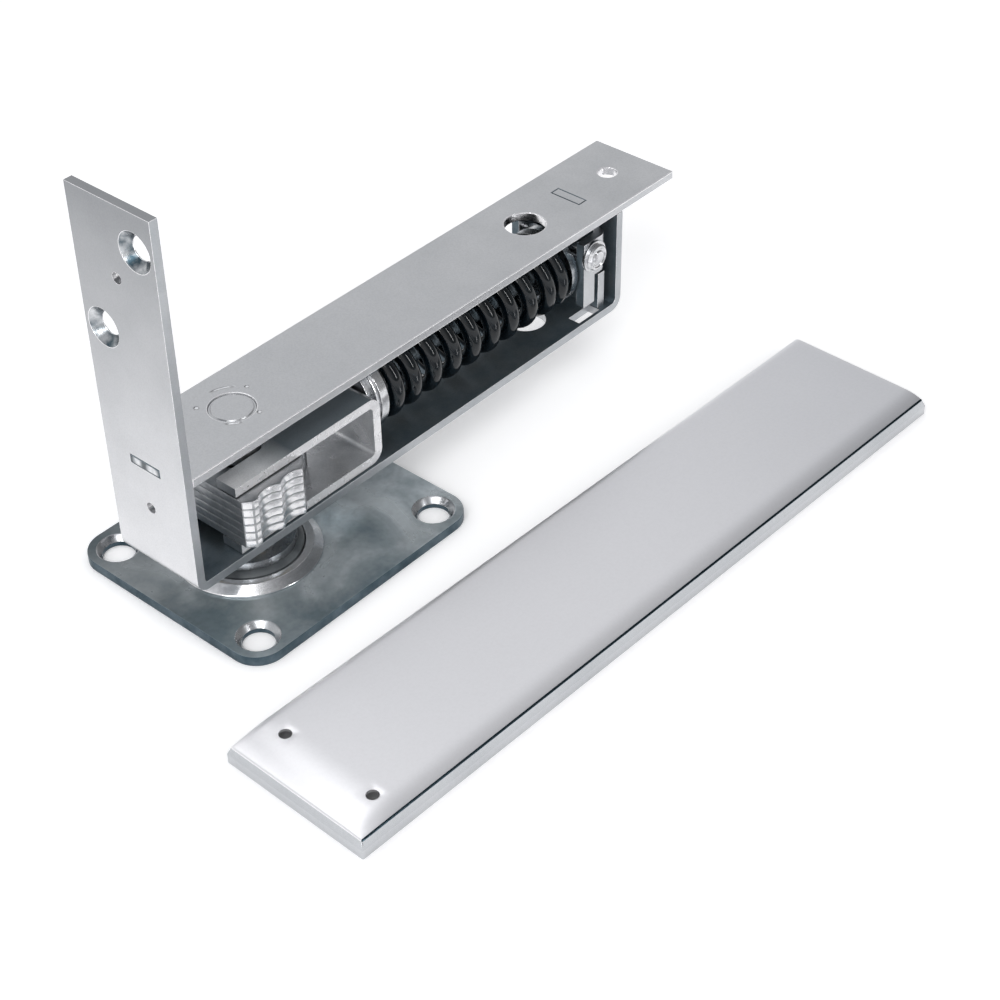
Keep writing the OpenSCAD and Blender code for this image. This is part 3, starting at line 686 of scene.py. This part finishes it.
for i in range(1, CAM_PLATES + 1):
    dressed(
        f"cam_plate_{i}", f"cam_layer_{i}", "base", "cam_steel", [cam_dark, cam_bright], CAM_BEVEL,
        cam_rule, lambda centre: cam_dark, leave=scallop_corner, weld=CAM_WELD,
    )

# %% [markdown]
# ## Inner steel
# The balls, the spindle, the upper race and the bush are hidden almost wholly, and their CAD shapes are
# true to life. They keep their meshes, and only the finish in their material slot is new.

# %% Inner steel that keeps its CAD shape
def coat(node, finish):
    """Gives a CAD node a finish in place of its plain one."""
    mesh = nodes[node].data
    mesh.materials.clear()
    mesh.materials.append(finish)
    print(node, "in", finish.name)


for node, finish in (
    ("thrust_balls", chrome), ("spindle", race_steel), ("upper_race", race_steel), ("bottom_bush", brass),
):
    coat(node, finish)

# %% [markdown]
# ## Arm frame
# One strip is bent into the jamb strap, the bottom strap and the end wall. Outside it is satin zinc.
# Inside it is painted dark as shade, which a face rule finds from the face's place and the way it
# points. The top plate's upper face is satin, and its cut sides near the middle are painted bright
# as highlights.

# %% Frame strap and top plate
STRAP_TOP, LID_UNDER = 16.5, 45.7
JAMB_INNER, END_INNER = -26.0, 134.0
HAIR = 0.1
ABOVE_LID, JAMB_HOLES_FROM = 48, 60
TENON_HALF, TAIL_TENON, TAIL_TENON_FROM_Z = 7.5, (122, 138), 47.5


def strap_rule(centre, normal):
    cut_side = abs(normal.y) > 0.9
    if centre.x < JAMB_INNER + HAIR and centre.z > STRAP_TOP + HAIR:
        if cut_side:
            return jamb_side
        if centre.z > JAMB_HOLES_FROM and 0.5 < -normal.x < 0.9:
            return countersink
        return jamb if normal.x < 0.5 or centre.z > ABOVE_LID else inside
    if cut_side:
        return strap_side
    between = STRAP_TOP - HAIR < centre.z < LID_UNDER + HAIR
    # Faces between the straps, inside the frame, take the finish painted dark as shade.
    return inside if between and JAMB_INNER + HAIR < centre.x < END_INNER + HAIR else satin


def lid_rule(centre, normal):
    if centre.x < JAMB_INNER - HAIR:
        return tenon_end if normal.x < -0.5 else inside
    # The underside of the top plate is painted dark as shade.
    if normal.z < -0.5 and centre.x < END_INNER:
        return inside
    # Cut sides near the middle take the painted highlight.
    if abs(normal.z) < 0.5 and abs(centre.y) < 7:
        return edge_highlight
    return lid_satin if normal.z > 0.5 else satin


def frame_edge(centre):
    """A painted highlight everywhere, but painted shade where a tenon's end shows in its slot."""
    near_middle = abs(centre.y) < TENON_HALF
    in_jamb = centre.x < JAMB_INNER - HAIR
    in_lid = centre.z > TAIL_TENON_FROM_Z and TAIL_TENON[0] < centre.x < TAIL_TENON[1]
    return inside if near_middle and (in_jamb or in_lid) else edge_highlight


dressed(
    "frame_strap", "frame_strap_bent", "arm", "frame_steel",
    [satin, jamb, inside, edge_highlight, jamb_side, strap_side, countersink], 0.3,
    strap_rule, lambda centre: edge_highlight,
)
dressed(
    "top_plate", "top_plate_cut", "arm", "frame_steel",
    [satin, inside, edge_highlight, lid_satin, tenon_end], 0.3, lid_rule, frame_edge,
)

# %% [markdown]
# ## End bracket, far seat and rod
# The bracket is the same zinc as the frame, painted dark as shade on the face that looks at the spring.
# The seat is turned, and the rod is ground bright at its end, where it shows, and painted dark as shade
# inside the spring.

# %% End bracket, far seat and rod
BRACKET_FROM_X, ROD_END_FROM_X = 119, 118


def bracket_rule(centre, normal):
    return inside if normal.x < -0.5 and centre.x > BRACKET_FROM_X else satin


def rod_rule(centre, normal):
    return ground if centre.x > ROD_END_FROM_X else inside


dressed(
    "end_bracket", "end_bracket_bent", "arm", "frame_steel", [satin, inside, edge_highlight], 0.4,
    bracket_rule, frame_edge,
)
dressed("far_seat", "far_seat_turned", "arm", "seat_steel", [race_steel])
dressed(
    "guide_rod", "guide_rod_drawn", "arm", "pin_steel", [ground, inside], 0.2,
    rod_rule, lambda centre: ground,
)

# %% [markdown]
# ## Pins
# The pivot is staked in the top plate: its flat head has a fine groove round it, where the metal was
# pressed down. The cross pin has a turned head with a shallow ring. Both are profiles of (along, radius)
# points, spun round an axis.

# %% Top pivot and cross pin
AXIS_Z = 31.1
PIVOT = [
    (24.7, 0), (24.7, 2.7), (25.0, 3), (34.5, 3), (34.5, 5.7), (34.8, 6), (47.7, 6), (47.85, 5.85),
    (47.85, 5.5), (48.15, 5.25), (48.18, 4.6), (48.12, 0),
]
piece_from(
    turned(PIVOT, (0, 0, 0), (0, 0, 1), (1, 0, 0)),
    "top_pivot_staked", "arm", "pin_steel", [satin], "top_pivot",
)

CROSS_PIN_AT = (124.0, 0, 36.9)
CROSS_PIN = [
    (-14.3, 0), (-14.3, 2.4), (-13.8, 2.9), (-13.3, 2.9), (-13.3, 2), (14.3, 2), (14.3, 3.9),
    (14.9, 3.9), (15.45, 3.5), (15.6, 3.0), (15.35, 2.7), (15.35, 2.3), (15.75, 1.9), (15.88, 0),
]
piece_from(
    turned(CROSS_PIN, CROSS_PIN_AT, (0, -1, 0), (0, 0, 1), 64),
    "cross_pin_headed", "arm", "pin_steel", [ground], "cross_pin",
)
dressed("pin_washer", "pin_washer_punched", "arm", "pin_steel", [ground], 0.15)

# %% [markdown]
# ## Yoke, seat and roller
# The yoke is a wide U that slides along the arm with the roller's pin across it. Its upper arm is painted
# bright at the tip and painted dark further in, as shade under the top plate, with a ramp along X. The seat
# between it and the spring is turned in steps, which show as bright rings.

# %% Yoke finishes
yoke_steel = plated("yoke_pressed_steel", 0.50, 0.62, 4.0, (0.24, 0.4))
yoke_inside = plated("yoke_inner_steel", 0.52, 0.72, 7.0, (0.22, 0.4), metal=0.75)
yoke_side = plated("yoke_cut_side", 0.80, 0.96, 3.0, (0.2, 0.35), grain=0.6, depth=0.01, bite=0.25, metal=0.5)
yoke_top = plated("yoke_shaded_top", 0.88, 1.0, 6.0, (0.3, 0.45), metal=0.1)
# Painted light at the tip and painted shade under the top plate.
from_tip = spread(yoke_top, along(yoke_top, "X", place_on(yoke_top)), -0.013, 0.007, 0, 1)
tint(yoke_top, ramp(
    yoke_top, from_tip, [(0.0, (1, 1, 1)), (0.5, (0.85, 0.87, 0.88)), (1.0, (0.17, 0.20, 0.22))]
))
print("finishes:", yoke_steel.name, yoke_inside.name, yoke_side.name, yoke_top.name)

# %% Yoke, seat and roller
YOKE_TOP_FROM_Z, YOKE_SIDE_FROM_Y, YOKE_OPEN_SIDE_Y = 37, 13, -10
WINDOW_LOW, WINDOW_HIGH, WINDOW_END = 19.3, 34.7, 35


def yoke_rule(centre, normal):
    if normal.z > 0.9 and centre.z > YOKE_TOP_FROM_Z:
        return yoke_top
    if abs(normal.y) > 0.9 and abs(centre.y) > YOKE_SIDE_FROM_Y:
        return yoke_side
    in_window = WINDOW_LOW < centre.z < WINDOW_HIGH and abs(normal.y) < 0.5 and centre.x < WINDOW_END
    return yoke_inside if in_window else yoke_steel


def yoke_edge(centre):
    """The edges on the open side of the frame are painted bright as highlights."""
    return edge_highlight if centre.y < YOKE_OPEN_SIDE_Y else yoke_steel


dressed(
    "yoke", "yoke_bent", "slider", "yoke_steel", [yoke_steel, yoke_inside, edge_highlight, yoke_top, yoke_side],
    0.5, yoke_rule, yoke_edge, segments=3,
)
dressed("near_seat", "near_seat_turned", "slider", "seat_steel", [ground])
dressed("roller_pin", "roller_pin_capped", "slider", "pin_steel", [ground], 0.15)
dressed("roller", "roller_hardened", "wheel", "roller_steel", [ground], 0.2)

# %% [markdown]
# ## Spring
# A spring is wire wound round a mandrel. A circle is spun about the spring's axis and moved along it at
# every step, close together for the end turns and wider between. Its end rings are capped.
# The spring shortens when the door turns either way, so it is made in two halves that meet in the
# middle.

# %% Spring
COIL_RADIUS, WIRE_RADIUS, RING_POINTS, STEPS = 9.6, 2.4, 20, 40
CLOSE, OPEN, START_X, TURNS = 5.3, 7.842, 44.9, 9.6
MIDDLE, HALF_LENGTH, TRAVEL = 80.0, 37.5, 10


def wound(first, last):
    """A length of the coil between two turn counts, as a bmesh."""
    bm = bmesh.new()
    begin = START_X + CLOSE * min(first, 1) + OPEN * max(first - 1, 0)
    place = Matrix.Translation((begin * MM, 0, AXIS_Z * MM)) @ Matrix.Rotation(math.tau * first, 4, "X")
    place = place @ Matrix.Translation((0, COIL_RADIUS * MM, 0))
    ring = bmesh.ops.create_circle(bm, segments=RING_POINTS, radius=WIRE_RADIUS * MM, matrix=place)["verts"]
    start_edges = list(bm.edges)
    now = ring + start_edges
    for a, b, pitch in ((0, 1, CLOSE), (1, TURNS - 1, OPEN), (TURNS - 1, TURNS, CLOSE)):
        a, b = max(a, first), min(b, last)
        if b <= a + 1e-6:
            continue
        steps = max(1, round((b - a) * STEPS))
        now = bmesh.ops.spin(
            bm, geom=now, cent=(0, 0, AXIS_Z * MM), axis=(1, 0, 0), angle=math.tau * (b - a), steps=steps,
            dvec=(pitch * (b - a) / steps * MM, 0, 0), use_merge=False,
        )["geom_last"]
    end_edges = [edge for edge in now if isinstance(edge, bmesh.types.BMEdge)]
    bmesh.ops.contextual_create(bm, geom=start_edges)
    bmesh.ops.contextual_create(bm, geom=end_edges)
    bmesh.ops.recalc_face_normals(bm, faces=bm.faces)
    return bm


split = 1 + (MIDDLE - START_X - CLOSE) / OPEN
near_half = piece_from(wound(0, split), "spring_near_half", "coil", "spring_black", [black], "spring")
far_half = piece_from(wound(split, TURNS), "spring_far_half", "coil", "spring_black", [black], "spring")
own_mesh(near_half)
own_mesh(far_half)
print("spring split at turn", round(split, 2))

# %% [markdown]
# ## Side cover
# The loose cover is a shallow tray pressed from thin sheet and polished. Its top rises slowly from the
# end with the holes and from one long edge, ends in a crisp line, and the sides go down in two facets. A
# fine grid is lifted to the crown, holes are bridged into it, its border is extruded down twice, and
# the Solidify modifier gives the sheet its thickness.

# %% Crowned top of the cover
LONG, WIDE, EDGE_Z, RISE = 220.85, 44.85, 4.9, 1.3
LIP, FACET_Z, SHEET = 0.9, 2.7, 0.9
TOP_LONG, TOP_WIDE = LONG - 2 * LIP, WIDE - 2 * LIP
END_ROLL, SIDE_ROLL, CRISP_ROLL, CRISP_START = 13, 5.5, 1.5, 0.8


def rise(depth, reach):
    """0 at the edge, 1 from this reach inwards, and round between."""
    share = max(0.0, min(1.0, depth / reach))
    return 1 - (1 - share) ** 2


def crisp_rise(depth):
    """The same from a crisp edge, which starts nearly at full height."""
    return CRISP_START + (1 - CRISP_START) * rise(depth, CRISP_ROLL)


cover = bmesh.new()
bmesh.ops.create_grid(cover, x_segments=220, y_segments=44, size=0.5)
bmesh.ops.scale(cover, vec=(TOP_LONG * MM, TOP_WIDE * MM, 1), verts=cover.verts)
for vert in cover.verts:
    x, y = vert.co.x / MM, vert.co.y / MM
    rolled = rise(TOP_LONG / 2 + x, END_ROLL) * rise(TOP_WIDE / 2 + y, SIDE_ROLL)
    crisp = crisp_rise(TOP_LONG / 2 - x) * crisp_rise(TOP_WIDE / 2 - y)
    vert.co.z = (EDGE_Z + RISE * rolled * crisp) * MM
print("crown of", len(cover.verts), "points")

# %% Screw holes of the cover
HOLE_X, HOLE_Y, HOLE_RADIUS, CUT_HALF, RIM_WITHIN = -99, 14.35, 1.65, 2.3, 5

for side in (-1, 1):
    hole = Vector((HOLE_X, side * HOLE_Y, 0)) * MM
    near = []
    for face in cover.faces:
        off = face.calc_center_median() - hole
        if max(abs(off.x), abs(off.y)) < CUT_HALF * MM:
            near.append(face)
    hole.z = near[0].calc_center_median().z
    bmesh.ops.delete(cover, geom=near, context="FACES")
    rim = [
        edge for edge in cover.edges
        if edge.is_boundary and (edge.verts[0].co.xy - hole.xy).length < RIM_WITHIN * MM
    ]
    ring = bmesh.ops.create_circle(
        cover, segments=len(rim), radius=HOLE_RADIUS * MM, matrix=Matrix.Translation(hole)
    )["verts"]
    ring_edges = [edge for edge in cover.edges if edge.verts[0] in ring and edge.verts[1] in ring]
    bmesh.ops.bridge_loops(cover, edges=rim + ring_edges)
    print("hole with", len(rim), "edges")

# %% Sides of the cover
COVER_SET = [polished, cover_facet, cover_wall, cover_reflection_line, cover_inside]
COVER_AT, COVER_TURN = (55.5, -74.8, 0), math.radians(-1.6)
CRISP_ABOVE, CRISP_BEVEL = math.radians(25), 0.35
TOP_EDGE_FROM_Z, DARK_EDGE_Y, SLACK = 4.2, -21, 0.01


def outer_border():
    """The open edges on the cover's rim, which leaves out those of the two holes."""
    def on_rim(vert):
        return max(abs(vert.co.x) / (TOP_LONG / 2 * MM), abs(vert.co.y) / (TOP_WIDE / 2 * MM)) > 0.999

    return [edge for edge in cover.edges if edge.is_boundary and on_rim(edge.verts[0])]


for level_z, finish in ((FACET_Z, cover_facet), (0.0, cover_wall)):
    before = set(cover.faces)
    made = bmesh.ops.extrude_edge_only(cover, edges=outer_border())["geom"]
    for vert in (v for v in made if isinstance(v, bmesh.types.BMVert)):
        if abs(vert.co.x) > (TOP_LONG / 2 - SLACK) * MM:
            vert.co.x = math.copysign(LONG / 2 * MM, vert.co.x)
        if abs(vert.co.y) > (TOP_WIDE / 2 - SLACK) * MM:
            vert.co.y = math.copysign(WIDE / 2 * MM, vert.co.y)
        vert.co.z = level_z * MM
    for face in set(cover.faces) - before:
        face.material_index = COVER_SET.index(finish)
bmesh.ops.recalc_face_normals(cover, faces=cover.faces)
sharp = [edge for edge in cover.edges if not edge.is_boundary and edge.calc_face_angle() > CRISP_ABOVE]
made = bmesh.ops.bevel(
    cover, geom=sharp, offset=CRISP_BEVEL * MM, offset_type="OFFSET", affect="EDGES", segments=3,
    profile=0.5, material=-1, clamp_overlap=True,
)
for face in made["faces"]:
    centre = face.calc_center_median() / MM
    # The top bevel of the minus Y long side is painted nearly black as a reflection of the dark flag.
    if centre.z > TOP_EDGE_FROM_Z:
        face.material_index = COVER_SET.index(cover_reflection_line if centre.y < DARK_EDGE_Y else polished)
bmesh.ops.transform(
    cover, verts=cover.verts,
    matrix=Matrix.Translation(Vector(COVER_AT) * MM) @ Matrix.Rotation(COVER_TURN, 4, "Z"),
)
piece_from(cover, "side_cover_pressed", "cover", "cover_steel", COVER_SET, "side_cover", wall=SHEET)
